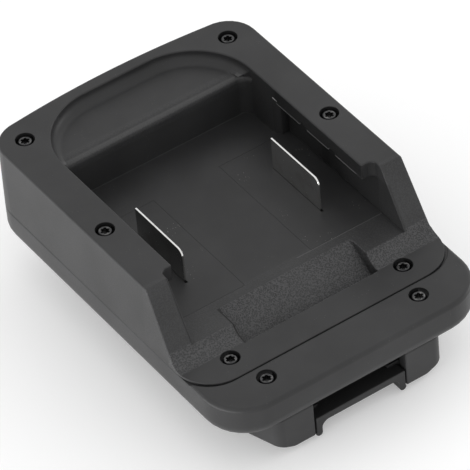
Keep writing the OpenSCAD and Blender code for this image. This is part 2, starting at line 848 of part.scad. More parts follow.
// Right contact carrier: a plug in the floor's window, a flange under the floor and two screw ears
// towards the middle
module contact_carrier() {
    x1 = pocket_w / 2 - carrier_out;
    y1 = carrier_y + carrier_l;
    fw = carrier_flange_w;
    slot_half = blade_t / 2 + carrier_clear;
    difference() {
        union() {
            block([carrier_in, carrier_y, carrier_ear_z], [x1, y1, z_floor]);
            block([carrier_in - fw, carrier_y - fw, carrier_flange_z],
                [x1, y1 + fw, carrier_flange_z + carrier_flange_t]);
            for (y = carrier_ear_y) {
                translate([carrier_screw_x, y, carrier_ear_z])
                    cylinder(r = carrier_ear_r, h = carrier_flange_t);
                block([carrier_screw_x, y - carrier_ear_r, carrier_ear_z],
                    [carrier_in + eps, y + carrier_ear_r, carrier_ear_z + carrier_flange_t]);
            }
        }
        // passes the column of the middle rim screw
        translate([mid_screw[0], mid_screw[1], carrier_ear_z - cut_run])
            cylinder(r = mid_column_r + plug_clear, h = z_floor_under - carrier_ear_z + cut_run);
        // the plug is hollow from below beside the blade's block
        for (room = [[carrier_in + carrier_rib, blade_x - carrier_block_w / 2],
                [blade_x + carrier_block_w / 2, x1 - carrier_rib]])
            block([room[0], carrier_y + carrier_rib, carrier_ear_z - cut_run],
                [room[1], y1 - carrier_rib, z_floor_under]);
        block([blade_x - slot_half, blade_y0 - slot_end, z_floor_under],
            [blade_x + slot_half, blade_y1 + carrier_clear, z_floor + cut_run]);
        block([blade_x - slot_half, blade_y0 + blade_tail_in - carrier_clear, carrier_ear_z - cut_run],
            [blade_x + slot_half, blade_y1 - blade_tail_in + carrier_clear, z_floor]);
        for (y = carrier_ear_y)
            translate([carrier_screw_x, y, carrier_ear_z - cut_run])
                cylinder(d = small_shank_w + 2 * shank_clear, h = carrier_flange_t + 2 * cut_run);
    }
}

module right_contact_carrier() {
    color("#38383a")
        contact_carrier();
}

module left_contact_carrier() {
    color("#38383a")
        mirror([1, 0, 0])
            contact_carrier();
}

// Right blade with a round front corner, a narrower tail and a bent solder tab
module blade() {
    r = blade_corner_r;
    translate([blade_x - blade_t / 2, 0, 0])
        rotate([90, 0, 90])
            linear_extrude(blade_t) {
                translate([blade_y0 + r, z_floor_under])
                    square([blade_y1 - blade_y0 - r, blade_z - z_floor_under]);
                translate([blade_y0, z_floor_under])
                    square([r + eps, blade_z - r - z_floor_under]);
                translate([blade_y0 + r, blade_z - r])
                    circle(r);
                translate([blade_y0 + blade_tail_in, blade_tail_z])
                    square([blade_y1 - blade_y0 - 2 * blade_tail_in, z_floor_under - blade_tail_z + eps]);
            }
    block([blade_x - blade_t / 2 - blade_tab_l, blade_y0 + blade_tail_in, blade_tail_z - blade_t],
        [blade_x + blade_t / 2, blade_y0 + blade_tail_in + blade_tab_w, blade_tail_z + eps]);
}

module right_blade() {
    color("#d9dadc")
        blade();
}

module left_blade() {
    color("#d9dadc")
        mirror([1, 0, 0])
            blade();
}

// Holder of the tool-side clips
module terminal_block() {
    room_w = clip_open + 2 * clip_leaf_t + 1;
    color("#1f1f21")
        difference() {
            union() {
                block([-block_w / 2, block_y0, block_z0],
                    [block_w / 2, block_y0 + block_l, block_z0 + block_h]);
                both_sides()
                    translate([block_ear_x, block_y0 + block_l / 2, block_z0 + block_h - block_ear_t])
                        cylinder(r = block_ear_r, h = block_ear_t);
            }
            both_sides() {
                // chamber of a clip, open to the front for its tail, and the slot through the rear
                block([terminal_gap / 2 - room_w / 2, block_y0 - 1, clip_z0 - 0.1],
                    [terminal_gap / 2 + room_w / 2, block_y0 + block_l - 2, clip_z0 + clip_h + 0.1]);
                block([(terminal_gap - terminal_slot_w) / 2, clip_back_y, block_z0 - 1],
                    [(terminal_gap + terminal_slot_w) / 2, block_y0 + block_l + 1, clip_z0 + clip_h]);
                // room beside the columns under the ears
                translate([block_ear_x, block_y0 + block_l / 2, block_z0 - 1])
                    cylinder(r = block_ear_r + 0.3, h = block_h - block_ear_t + 0.95);
                translate([block_ear_x, block_y0 + block_l / 2, block_z0])
                    cylinder(d = small_shank_w + 2 * shank_clear, h = block_h + 1);
            }
        }
}

// Female clip: two leaves that close towards the tool's blade, joined by a back and a wire tail
module clip(side) {
    x = side * terminal_gap / 2;
    half = clip_open / 2;
    t = clip_leaf_t;
    bend_y = clip_back_y + clip_straight;
    pinch_y = clip_back_y + clip_l - clip_lead;
    flare_y = clip_back_y + clip_l;
    translate([x, 0, clip_z0]) {
        linear_extrude(clip_h)
            for (s = [-1, 1])
                polygon([
                    [s * half, clip_back_y], [s * (half + t), clip_back_y],
                    [s * (half + t), bend_y], [s * (clip_pinch + t), pinch_y],
                    [s * (clip_flare + t), flare_y], [s * clip_flare, flare_y],
                    [s * clip_pinch, pinch_y], [s * half, bend_y]
                ]);
        block([-half - t, clip_back_y - t, 0], [half + t, clip_back_y + eps, clip_h]);
        block([-clip_tail_w / 2, clip_back_y - clip_tail_l, 0],
            [clip_tail_w / 2, clip_back_y - t + eps, t]);
    }
}

module positive_clip() {
    color("#c9a45c")
        clip(1);
}

module negative_clip() {
    color("#c9a45c")
        clip(-1);
}

// Right wire: from the blade's tab over to the passage, down through it and back to the clip's tail
module wire() {
    r = wire_bend_r;
    start = [blade_x - blade_tab_l / 2 - blade_t / 2, blade_y0 + blade_tail_in + wire_start];
    turn_at = [terminal_gap / 2, wire_hole_y + wire_hole_l / 2];
    z_top = blade_tail_z - blade_t - wire_r - wire_gap;
    z_low = clip_z0 + clip_leaf_t + wire_r + wire_gap;
    end_y = clip_back_y - clip_leaf_t - wire_end_gap;
    run = norm(start - turn_at);
    // upper run and the bend down
    translate([turn_at[0], turn_at[1], z_top - r])
        rotate([0, 0, atan2(start[1] - turn_at[1], start[0] - turn_at[0])]) {
            translate([r, 0, r])
                rotate([0, 90, 0])
                    cylinder(r = wire_r, h = run - r);
            translate([r, 0, 0])
                rotate([90, 0, 0])
                    rotate([0, 0, 90])
                        rotate_extrude(angle = 90)
                            translate([r, 0])
                                circle(wire_r);
        }
    translate([turn_at[0], turn_at[1], z_low + r])
        cylinder(r = wire_r, h = z_top - z_low - 2 * r);
    // bend to the rear and the lower run
    translate([turn_at[0], turn_at[1] + r, z_low + r])
        rotate([0, 0, 90])
            rotate([90, 0, 0])
                rotate([0, 0, 180])
                    rotate_extrude(angle = 90)
                        translate([r, 0])
                            circle(wire_r);
    translate([turn_at[0], turn_at[1] + r, z_low])
        rotate([-90, 0, 0])
            cylinder(r = wire_r, h = end_y - turn_at[1] - r);
}

module positive_wire() {
    color("#b3201d")
        wire();
}

module negative_wire() {
    color("#18181a")
        mirror([1, 0, 0])
            wire();
}

// Profile of the latch's legs, in X and Z, with round hooked ends
module latch_legs() {
    x1 = latch_w / 2;
    for (side = [-1, 1]) {
        translate([side * (x1 + latch_tip_out - latch_tip_r), latch_tip_z + latch_tip_r])
            circle(latch_tip_r);
        translate([side > 0 ? x1 - latch_leg_w : -x1, latch_tip_z + latch_tip_r])
            square([latch_leg_w, latch_bar_h - latch_tip_r + eps]);
    }
}

// Profile of the latch's bar, in X and Z, with the fillets to its legs
module latch_bar() {
    x0 = latch_w / 2 - latch_leg_w;
    r = latch_fillet_r;
    translate([-latch_w / 2, latch_bar_z])
        square([latch_w, latch_bar_t]);
    for (side = [-1, 1])
        difference() {
            translate([side > 0 ? x0 - r : -x0 - eps, latch_bar_z - r])
                square([r + eps, r + eps]);
            translate([side * (x0 - r), latch_bar_z - r])
                circle(r);
        }
}

module latch_button() {
    x1 = latch_w / 2;
    color("#3b3b3d")
        difference() {
            union() {
                translate([0, y_foot + latch_front_d, 0])
                    rotate([90, 0, 0])
                        linear_extrude(latch_front_d)
                            latch_bar();
                translate([0, y_foot + latch_leg_d, 0])
                    rotate([90, 0, 0])
                        linear_extrude(latch_leg_d)
                            latch_legs();
                // arms that reach into the foot's side pockets and rest on their ledges
                both_sides()
                    block([x1 - latch_leg_w - 1.2, latch_arm_y, latch_arm_z],
                        [x1 + latch_arm_out, latch_arm_y + latch_arm_d, latch_arm_z1]);
                // tie behind the bar
                block([-x1, latch_arm_y, latch_bar_z],
                    [x1, latch_arm_y + latch_arm_d, latch_bar_z + latch_bar_t]);
            }
            both_sides()
                translate([spring_x, spring_y, spring_z - 0.1])
                    cylinder(d = spring_w + 2 * spring_bore_gap, h = z_case);
        }
}

// Compression spring as one unbroken coil with closer turns at both ends
module latch_spring(side) {
    sides = 6;
    steps = 14;
    r = (spring_w - spring_wire) / 2;
    h = z_case - spring_z - spring_wire - 0.1;
    n = spring_coils * steps;
    end_pitch = 1.9 * spring_wire;
    pitch = (h - 2 * end_pitch) / (spring_coils - 2);
    points = [for (i = [0 : n]) let (
            a = 360 * i / steps,
            turn = i / steps,
            last = spring_coils - 1,
            rise = end_pitch * (min(turn, 1) + max(turn - last, 0)) + pitch * (min(max(turn, 1), last) - 1)
        ) for (k = [0 : sides - 1]) let (
            b = 360 * k / sides,
            d = r + spring_wire / 2 * cos(b)
        ) [d * cos(a), d * sin(a), spring_wire / 2 + rise + spring_wire / 2 * sin(b)]];
    bands = [for (i = [0 : n - 1]) for (k = [0 : sides - 1]) let (
            a = i * sides + k,
            b = i * sides + (k + 1) % sides
        ) for (f = [[a, b, b + sides], [a, b + sides, a + sides]]) f];
    first = [[for (k = [0 : sides - 1]) sides - 1 - k]];
    last = [[for (k = [0 : sides - 1]) n * sides + k]];
    translate([side * spring_x, spring_y, spring_z])
        polyhedron(points, concat(bands, first, last), convexity = 8);
}

module left_latch_spring() {
    color("#b9bbbe")
        latch_spring(-1);
}

module right_latch_spring() {
    color("#b9bbbe")
        latch_spring(1);
}

// Six-lobe screw hanging from its head's underside down to its end
module lobe_screw(d_head, h_head, d_shank, length) {
    lobe = d_head / 2 * 0.43;
    difference() {
        union() {
            rotate_extrude() {
                square([d_head / 2 - h_head * 0.35, h_head]);
                square([d_head / 2, h_head * 0.65]);
                translate([d_head / 2 - h_head * 0.35, h_head * 0.65])
                    circle(h_head * 0.35);
            }
            translate([0, 0, -length])
                cylinder(d = d_shank, h = length + eps);
        }
        translate([0, 0, h_head * 0.35])
            linear_extrude(h_head) {
                circle(lobe);
                for (a = [0 : 60 : 300])
                    rotate(a)
                        translate([lobe, 0])
                            circle(lobe * 0.38, $fn = 16);
            }
    }
}

// A pair of case screws, sunk under the surface that they hold down
module case_screws(place, z_end) {
    z_head = place[2] - head_sink - head_h;
    both_sides()
        translate([place[0], place[1], z_head])
            lobe_screw(head_w, head_h, shank_w, z_head - z_end);
}

module rear_rim_screws() {
    color("#2b2b2d")
        case_screws(rear_screw, rim_screw_end);
}

module mid_rim_screws() {
    color("#2b2b2d")
        case_screws(mid_screw, rim_screw_end);
}

module deck_screws() {
    color("#2b2b2d")
        case_screws(deck_screw, deck_screw_end);
}

module flange_screws() {
    color("#2b2b2d")
        case_screws(flange_screw, flange_screw_end);
}

module foot_screws() {
    color("#9a9ca0")
        both_sides()
            translate([foot_screw_x, foot_screw_y, z_in])
                lobe_screw(head_w, head_h, shank_w, z_in - foot_base_t - 2.4);
}

module terminal_block_screws() {
    color("#9a9ca0")
        both_sides()
            translate([block_ear_x, block_y0 + block_l / 2, block_z0 + block_h])
                lobe_screw(small_head_w, small_head_h, small_shank_w, block_h - 2);
}

module carrier_screws() {
    color("#9a9ca0")
        both_sides()
            for (y = carrier_ear_y)
                translate([carrier_screw_x, y, carrier_ear_z])
                    mirror([0, 0, 1])
                        lobe_screw(small_head_w, small_head_h, small_shank_w,
                            z_floor - 1.2 - carrier_ear_z);
}

upper_housing();
lower_housing();
tool_foot();
left_contact_carrier();
right_contact_carrier();
left_blade();
right_blade();
terminal_block();
positive_clip();
negative_clip();
positive_wire();
negative_wire();
latch_button();
left_latch_spring();
right_latch_spring();
rear_rim_screws();
mid_rim_screws();
deck_screws();
flange_screws();
foot_screws();
carrier_screws();
terminal_block_screws();
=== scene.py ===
# Looks for the slide-on tool battery adapter, in metres and in the same frame as its solids.
import math
import bmesh
import bpy
import numpy as np
from mathutils import Matrix, Vector


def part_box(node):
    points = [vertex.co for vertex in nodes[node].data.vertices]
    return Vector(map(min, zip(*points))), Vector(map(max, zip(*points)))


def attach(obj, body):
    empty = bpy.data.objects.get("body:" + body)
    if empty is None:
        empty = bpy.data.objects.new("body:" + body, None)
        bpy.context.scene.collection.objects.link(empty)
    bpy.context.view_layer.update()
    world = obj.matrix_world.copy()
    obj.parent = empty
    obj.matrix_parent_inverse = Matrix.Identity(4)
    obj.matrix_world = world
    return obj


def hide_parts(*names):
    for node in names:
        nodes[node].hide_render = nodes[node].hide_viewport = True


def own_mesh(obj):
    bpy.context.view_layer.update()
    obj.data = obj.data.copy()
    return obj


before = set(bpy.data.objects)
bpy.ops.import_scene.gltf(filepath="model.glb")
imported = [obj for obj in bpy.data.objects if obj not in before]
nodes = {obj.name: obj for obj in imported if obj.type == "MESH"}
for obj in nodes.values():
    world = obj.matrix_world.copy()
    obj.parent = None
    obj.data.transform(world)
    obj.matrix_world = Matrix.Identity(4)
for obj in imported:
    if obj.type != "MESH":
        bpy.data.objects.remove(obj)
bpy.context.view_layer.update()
scene = bpy.context.scene


# The camera stands where it stood for the photograph.
cameraPlace = {
    "azimuth": -30.88,      # degrees round the adapter, from straight in front
    "elevation": 42.34,
    "roll": -5.76,
    "distance": 1.217,
    "target": (-0.01084, -0.01823, 0.0440),
    "lens": 362.3,          # mm, on the sensor below, for a square picture
    "sensor": 36,
    "clip": (0.05, 30),
}


def placeCamera(place):
    az, el, roll = (math.radians(place[k]) for k in ("azimuth", "elevation", "roll"))
    back = Vector((math.sin(az) * math.cos(el), -math.cos(az) * math.cos(el), math.sin(el)))
    right = Vector((math.cos(az), math.sin(az), 0))
    up = back.cross(right)
    turnedRight = right * math.cos(roll) + up * math.sin(roll)
    turnedUp = up * math.cos(roll) - right * math.sin(roll)
    spot = Vector(place["target"]) + back * place["distance"]
    data = bpy.data.cameras.new("photoCamera")
    data.sensor_width = place["sensor"]
    data.lens = place["lens"]
    data.clip_start, data.clip_end = place["clip"]
    camera = bpy.data.objects.new("photoCamera", data)
    turn = Matrix((turnedRight, turnedUp, back)).transposed().to_4x4()
    camera.matrix_world = Matrix.Translation(spot) @ turn
    scene.collection.objects.link(camera)
    scene.camera = camera


placeCamera(cameraPlace)
print("camera placed")


def addNode(tree, kind, values=None, **settings):
    # a value that is a socket gets linked, anything else is typed in
    node = tree.nodes.new(kind)
    for name, value in settings.items():
        setattr(node, name, value)
    for key, value in (values or {}).items():
        if isinstance(value, bpy.types.NodeSocket):
            tree.links.new(value, node.inputs[key])
        else:
            node.inputs[key].default_value = value
    return node


def useGroup(tree, group, values):
    return addNode(tree, "ShaderNodeGroup", values, node_tree=group).outputs


def addMath(tree, operation, a, b=0.0, c=0.0):
    return addNode(tree, "ShaderNodeMath", {0: a, 1: b, 2: c}, operation=operation).outputs[0]


def addVectorMath(tree, operation, a, b=(0, 0, 0)):
    return addNode(tree, "ShaderNodeVectorMath", {0: a, 1: b}, operation=operation).outputs[0]


def addMapRange(tree, value, low, high, toLow=0.0, toHigh=1.0):
    return addNode(tree, "ShaderNodeMapRange", {0: value, 1: low, 2: high, 3: toLow, 4: toHigh},
                   interpolation_type="SMOOTHSTEP").outputs[0]


def addMix(tree, factor, a, b):
    # sockets 6 and 7 and output 2 are the ones for colors
    return addNode(tree, "ShaderNodeMix", {0: factor, 6: a, 7: b}, data_type="RGBA").outputs[2]


def addNoise(tree, place, scale, detail, roughness=0.5):
    return addNode(tree, "ShaderNodeTexNoise",
                   {"Vector": place, "Scale": scale, "Detail": detail, "Roughness": roughness}).outputs[0]


def addBump(tree, shader, height):
    # the height is in metres
    bump = addNode(tree, "ShaderNodeBump", {"Height": height, "Strength": 1.0, "Distance": 1.0})
    tree.links.new(bump.outputs[0], shader.inputs["Normal"])


def newGroup(name, inputs, outputs):
    group = bpy.data.node_groups.new(name, "ShaderNodeTree")
    for label, kind, default in inputs:
        socket = group.interface.new_socket(label, in_out="INPUT", socket_type=kind)
        if default is not None:
            socket.default_value = default
    for label, kind in outputs:
        group.interface.new_socket(label, in_out="OUTPUT", socket_type=kind)
    return group, group.nodes.new("NodeGroupInput").outputs, group.nodes.new("NodeGroupOutput").inputs


def makeBoxMask():
    # 1 inside the box from Low to High, fading to 0 over Soft outside it
    group, given, out = newGroup("boxMask", [
        ("Vector", "NodeSocketVector", None), ("Low", "NodeSocketVector", (0, 0, 0)),
        ("High", "NodeSocketVector", (0, 0, 0)), ("Soft", "NodeSocketFloat", 0.0005)],
        [("Mask", "NodeSocketFloat")])
    under = addVectorMath(group, "SUBTRACT", given["Low"], given["Vector"])
    over = addVectorMath(group, "SUBTRACT", given["Vector"], given["High"])
    outside = addVectorMath(group, "MAXIMUM", under, over)
    parts = addNode(group, "ShaderNodeSeparateXYZ", {0: outside}).outputs
    most = addMath(group, "MAXIMUM", addMath(group, "MAXIMUM", parts[0], parts[1]), parts[2])
    group.links.new(addMapRange(group, most, 0.0, given["Soft"], 1.0, 0.0), out["Mask"])
    return group


grainLook = {
    "fineSize": 0.00018,        # metres
    "coarseSize": 0.00038,
    "flowScale": 55.0,          # how many slow changes of tone in a metre
    "fineNoise": (3.0, 0.6),    # detail and roughness of each noise
    "lumpNoise": (2.0, 0.7),
    "flowNoise": (3.0, 0.55),
    "flowRange": (0.3, 0.7),    # part of the slow noise that spans the tone
    "pitSmoothness": 0.6,
    "lumpShare": 0.8,           # uneven lumps added to the pits
    "coarseGain": 0.7,          # brings both back to about 0 to 1
    "fineDepth": 0.000012,      # metres
    "coarseDepth": 0.00009,
    "roughSpread": 0.05,
    "roughRange": (0.3, 0.7),   # part of the fine grain that spans it
    "fineTone": 0.45,           # shares of the fine grain and of the flow in the tone
    "flowTone": 0.55,
    "paleRange": (0.42, 0.80),  # heights between which the coarse grain's tops get a painted highlight
    "paleGain": 3.0,
    "paleShare": 0.52,
    "coarseRoughness": 0.08,
}


def makeMoldGrain(look):
    # Fine: the matt grain of a sandblasted mold. Coarse: the pitted grain of a spark-eroded one.
    # Tone: slow change of colour from the flow of the plastic.
    group, given, out = newGroup("moldGrain", [
        ("Vector", "NodeSocketVector", None), ("Fine Size", "NodeSocketFloat", look["fineSize"]),
        ("Coarse Size", "NodeSocketFloat", look["coarseSize"])],
        [("Fine", "NodeSocketFloat"), ("Coarse", "NodeSocketFloat"), ("Tone", "NodeSocketFloat")])
    fineScale = addMath(group, "DIVIDE", 1.0, given["Fine Size"])
    coarseScale = addMath(group, "DIVIDE", 1.0, given["Coarse Size"])
    fine = addNoise(group, given["Vector"], fineScale, *look["fineNoise"])
    lumps = addNoise(group, given["Vector"], coarseScale, *look["lumpNoise"])
    slow = addNoise(group, given["Vector"], look["flowScale"], *look["flowNoise"])
    pits = addNode(group, "ShaderNodeTexVoronoi",
                   {"Vector": given["Vector"], "Scale": coarseScale, "Smoothness": look["pitSmoothness"]},
                   feature="SMOOTH_F1").outputs["Distance"]
    both = addMath(group, "MULTIPLY_ADD", lumps, look["lumpShare"], pits)
    group.links.new(fine, out["Fine"])
    group.links.new(addMath(group, "MULTIPLY", both, look["coarseGain"]), out["Coarse"])
    group.links.new(addMapRange(group, slow, *look["flowRange"]), out["Tone"])
    return group


dustLook = {
    "cell": 0.0006,             # metres, one speck at most in each
    "size": (0.08, 0.2),        # full and no speck, in cells from its middle
    "patchScale": 160.0,        # patches of dust in a metre
    "patchDetail": 2.0,
    "patchEdge": (0.56, 0.64),
    "bare": 0.6,                # share of the cells without a speck
    "color": (0.45, 0.44, 0.42),
}


def makeSpecks(look):
    # Few, small, pale specks of dust: one in some of the cells, only where a slow noise is high
    group, given, out = newGroup("dustSpecks", [
        ("Vector", "NodeSocketVector", None), ("Size", "NodeSocketFloat", look["cell"]),
        ("Amount", "NodeSocketFloat", 0.3)], [("Mask", "NodeSocketFloat")])
    scale = addMath(group, "DIVIDE", 1.0, given["Size"])
    cells = addNode(group, "ShaderNodeTexVoronoi", {"Vector": given["Vector"], "Scale": scale}).outputs
    patches = addNoise(group, given["Vector"], look["patchScale"], look["patchDetail"])
    near = addMapRange(group, cells["Distance"], *look["size"], 1.0, 0.0)
    chosen = addMapRange(group, patches, *look["patchEdge"])
    drawn = addNode(group, "ShaderNodeSeparateXYZ", {0: cells["Color"]}).outputs[0]
    picked = addMath(group, "GREATER_THAN", drawn, look["bare"])
    mask = addMath(group, "MULTIPLY", addMath(group, "MULTIPLY", near, chosen), picked)
    group.links.new(addMath(group, "MULTIPLY", mask, given["Amount"]), out["Mask"])
    return group


def makeAxisDistance(centers):
    # distance from the nearest screw's axis; one stands at each center and one across the middle plane
    group, given, out = newGroup("axisDistance", [("Vector", "NodeSocketVector", None)],
                                 [("Distance", "NodeSocketFloat")])
    parts = addNode(group, "ShaderNodeSeparateXYZ", {0: given["Vector"]}).outputs
    side = addMath(group, "ABSOLUTE", parts[0])
    flat = addNode(group, "ShaderNodeCombineXYZ", {0: side, 1: parts[1]}).outputs[0]
    nearest = None
    for x, y in centers:
        one = addNode(group, "ShaderNodeVectorMath", {0: flat, 1: (x, y, 0)},
                      operation="DISTANCE").outputs["Value"]
        nearest = one if nearest is None else addMath(group, "MINIMUM", nearest, one)
    group.links.new(nearest, out["Distance"])
    return group


def screwCenter(name):
    # the axis of the right screw of a pair
    (x0, y0, z0), (x1, y1, z1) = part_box(name)
    return x1 - (y1 - y0) / 2, (y0 + y1) / 2


caseScrews = ("rear_rim_screws", "mid_rim_screws", "deck_screws", "flange_screws")
boxMask, moldGrain, dustSpecks = makeBoxMask(), makeMoldGrain(grainLook), makeSpecks(dustLook)
axisDistance = makeAxisDistance([screwCenter(name) for name in caseScrews])


def startMaterial(name):
    material = bpy.data.materials.new(name)
    material.use_nodes = True
    tree = material.node_tree
    shader = next(n for n in tree.nodes if n.type == "BSDF_PRINCIPLED")
    place = addNode(tree, "ShaderNodeTexCoord").outputs["Object"]
    return material, tree, shader, place


def areaMask(tree, place, area):
    # its share inside its boxes, fading to 0 outside them
    mask = None
    for low, high in area["boxes"]:
        corners = {"Vector": place, "Low": low, "High": high, "Soft": area["soft"]}
        one = useGroup(tree, boxMask, corners)["Mask"]
        mask = one if mask is None else addMath(tree, "MAXIMUM", mask, one)
    return addMath(tree, "MULTIPLY", mask, area["share"])


# Where the mold was spark-eroded, as boxes on the upper shell, and how much of the coarse grain shows.
roughAreas = [
    {"boxes": [((-0.0211, -0.0354, 0.0150), (0.0211, -0.0232, 0.0280)),
               ((-0.0450, -0.0350, 0.0246), (0.0450, -0.0300, 0.0285))],
     "soft": 0.0003, "share": 1.0},     # catch recess and the foot of the slope
    {"boxes": [((-0.0450, -0.0350, 0.0270), (0.0450, -0.0198, 0.0439)),
               ((-0.0300, 0.0355, 0.0370), (0.0300, 0.0392, 0.0412))],
     "soft": 0.0008, "share": 0.25},    # arms' sloped fronts and the pocket's rear wall
    {"boxes": [((-0.0290, 0.0357, 0.0392), (0.0290, 0.0372, 0.0406))],
     "soft": 0.0004, "share": 0.5},     # ridge over that wall
]


def bothSides(low, high):
    # a box and its mirror image across the middle plane
    return [(low, high), ((-high[0], low[1], low[2]), (-low[0], high[1], high[2]))]


# Small lighter or darker places painted into the colour: painted highlights on edges that catch the light,
# and painted shade in hollows, on walls and under edges with little light in them. Each has its boxes, how
# far it fades outside them, its gray and how much of that gray is laid over.
upperPaintedLight = [
    {"boxes": [*bothSides((0.0297, 0.0106, 0.0391), (0.0303, 0.0220, 0.0394)),
               *bothSides((0.0297, -0.0024, 0.0391), (0.0303, 0.0086, 0.0394)),
               *bothSides((0.0297, -0.0145, 0.0391), (0.0303, -0.0044, 0.0394))],
     "soft": 0.00012, "gray": 0.22, "share": 0.4},   # painted highlight along the lower edges of the lips
    {"boxes": [((0.0297, 0.0216, 0.0400), (0.0303, 0.0236, 0.0403))],
     "soft": 0.0001, "gray": 0.50, "share": 0.8},    # painted highlight on the right lip
    {"boxes": bothSides((0.0294, -0.0172, 0.0397), (0.0302, 0.0222, 0.0435)),
     "soft": 0.0003, "gray": 0.004, "share": 0.5},   # painted shade on the inner sides of the lips
    {"boxes": bothSides((0.0330, -0.0330, 0.0277), (0.0340, 0.0225, 0.0390)),
     "soft": 0.0005, "gray": 0.004, "share": 0.35},  # painted shade on the side walls in the grooves
    {"boxes": [((-0.0290, 0.0359, 0.0274), (0.0290, 0.0361, 0.0276))],
     "soft": 0.0001, "gray": 0.10, "share": 0.3},    # painted highlight along the rear edge of the floor
    {"boxes": [((0.0060, -0.02035, 0.0272), (0.0332, -0.02018, 0.0276))],
     "soft": 0.0001, "gray": 0.14, "share": 0.35},   # painted highlight along the floor before the right carrier
    {"boxes": [((-0.0290, 0.0360, 0.0395), (0.0290, 0.0373, 0.0406))],
     "soft": 0.0004, "gray": 0.085, "share": 0.5},   # painted highlight along the edge over the rear wall
    {"boxes": [((-0.0214, -0.0354, 0.0240), (-0.0207, -0.0232, 0.0280))],
     "soft": 0.0002, "gray": 0.004, "share": 0.9},   # painted shadow along the left edge of the catch recess
    {"boxes": [((0.0207, -0.0356, 0.0150), (0.0211, -0.0234, 0.0273))],
     "soft": 0.0002, "gray": 0.004, "share": 0.5},   # painted shade on its right wall
    {"boxes": [((-0.0340, -0.0300, 0.0275), (-0.0335, -0.0205, 0.0440))],
     "soft": 0.0001, "gray": 0.004, "share": 0.7},   # painted shade along the inner edge of the left arm's slope
]
footPaintedShade = [
    {"boxes": [((-0.0185, -0.0538, 0.0010), (0.0185, -0.0456, 0.0142))],
     "soft": 0.0008, "gray": 0.004, "share": 0.5},   # painted shade inside the latch notch
    {"boxes": [((-0.0300, -0.0560, 0.0131), (0.0300, -0.0450, 0.0141))],
     "soft": 0.0002, "gray": 0.004, "share": 0.7},   # painted shade under the flange, at the joint of foot and flange
]
latchPaintedShade = [
    {"boxes": [((-0.0205, -0.0545, 0.0064), (0.0205, -0.0460, 0.0090))],
     "soft": 0.0005, "gray": 0.004, "share": 0.4},   # painted shade on the top of the latch
]


def grayColor(value):
    return (value, value, value, 1)


def moldedPlastic(name, dark, light, roughness, areas=(), paintedLight=(), bores=None, dust=0.15, specular=0.3):
    look = grainLook
    material, tree, shader, place = startMaterial(name)
    grain = useGroup(tree, moldGrain, {"Vector": place})
    specks = useGroup(tree, dustSpecks, {"Vector": place, "Amount": dust})["Mask"]
    flow = addMath(tree, "MULTIPLY", grain["Tone"], look["flowTone"])
    tone = addMath(tree, "MULTIPLY_ADD", grain["Fine"], look["fineTone"], flow)
    color = addMix(tree, tone, (*dark, 1), (*light, 1))
    rough = addMapRange(tree, grain["Fine"], *look["roughRange"],
                        roughness - look["roughSpread"], roughness + look["roughSpread"])
    height = addMath(tree, "MULTIPLY", grain["Fine"], look["fineDepth"])
    if areas:
        mask = areaMask(tree, place, areas[0])
        for area in areas[1:]:
            mask = addMath(tree, "MAXIMUM", mask, areaMask(tree, place, area))
        deep = addMath(tree, "MULTIPLY", grain["Coarse"], look["coarseDepth"])
        height = addMath(tree, "ADD", height, addMath(tree, "MULTIPLY", deep, mask))
        # the coarse grain is real bump; its tops get a painted highlight
        tops = addMapRange(tree, grain["Coarse"], *look["paleRange"])
        pale = addMath(tree, "MULTIPLY", addMath(tree, "MULTIPLY", tops, mask), look["paleShare"])
        color = addMix(tree, pale, color, tuple(look["paleGain"] * c for c in light) + (1,))
        rough = addMath(tree, "MULTIPLY_ADD", mask, look["coarseRoughness"], rough)
    # painted highlights and painted shade laid over the colour
    for paintedPlace in paintedLight:
        color = addMix(tree, areaMask(tree, place, paintedPlace), color, grayColor(paintedPlace["gray"]))
    if bores:
        distance = useGroup(tree, axisDistance, {"Vector": place})["Distance"]
        inside = addMapRange(tree, distance, bores["wall"], bores["rim"], bores["share"], 0.0)
        color = addMix(tree, inside, color, grayColor(bores["gray"]))
    color = addMix(tree, specks, color, (*dustLook["color"], 1))
    tree.links.new(color, shader.inputs["Base Color"])
    tree.links.new(rough, shader.inputs["Roughness"])
    addBump(tree, shader, height)
    shader.inputs["Specular IOR Level"].default_value = specular
    return material


plasticLooks = {
    "housing": {"dark": (0.019, 0.019, 0.0194), "light": (0.034, 0.034, 0.0347), "roughness": 0.43},
    "lower": {"dark": (0.021, 0.021, 0.0214), "light": (0.037, 0.037, 0.0378), "roughness": 0.43},
    "foot": {"dark": (0.027, 0.027, 0.0275), "light": (0.044, 0.044, 0.0449), "roughness": 0.44},
    "carrier": {"dark": (0.019, 0.019, 0.0194), "light": (0.033, 0.033, 0.0337), "roughness": 0.42,
                "dust": 0.6},
    "latch": {"dark": (0.017, 0.017, 0.0174), "light": (0.030, 0.030, 0.0306), "roughness": 0.44},
    "terminal": {"dark": (0.010, 0.010, 0.011), "light": (0.017, 0.017, 0.018), "roughness": 0.34,
                 "dust": 0.05},
}
# The counterbores are shaded from the screw's axis to their wall. From the rim outwards the plastic
# gets its own tone.
boreShade = {"wall": 0.00267, "rim": 0.00279, "share": 0.55, "gray": 0.003}
upperPlastic = moldedPlastic("upperPlastic", areas=roughAreas, paintedLight=upperPaintedLight, bores=boreShade,
                             **plasticLooks["housing"])
lowerPlastic = moldedPlastic("lowerPlastic", paintedLight=footPaintedShade, bores=boreShade, **plasticLooks["lower"])
footPlastic = moldedPlastic("footPlastic", paintedLight=footPaintedShade, **plasticLooks["foot"])
carrierPlastic = moldedPlastic("carrierPlastic", **plasticLooks["carrier"])
latchPlastic = moldedPlastic("latchPlastic", paintedLight=latchPaintedShade, **plasticLooks["latch"])
terminalPlastic = moldedPlastic("terminalPlastic", **plasticLooks["terminal"])


metalNoise = {
    "streakScale": 900.0,
    "streaks": (4.0, 0.6),      # detail and roughness of each noise
    "wear": (3.0, 0.6),
    "wearRange": (0.45, 0.7),   # part of its noise over which the wear sets in
    "duller": 0.06,             # roughness that the wear adds
}


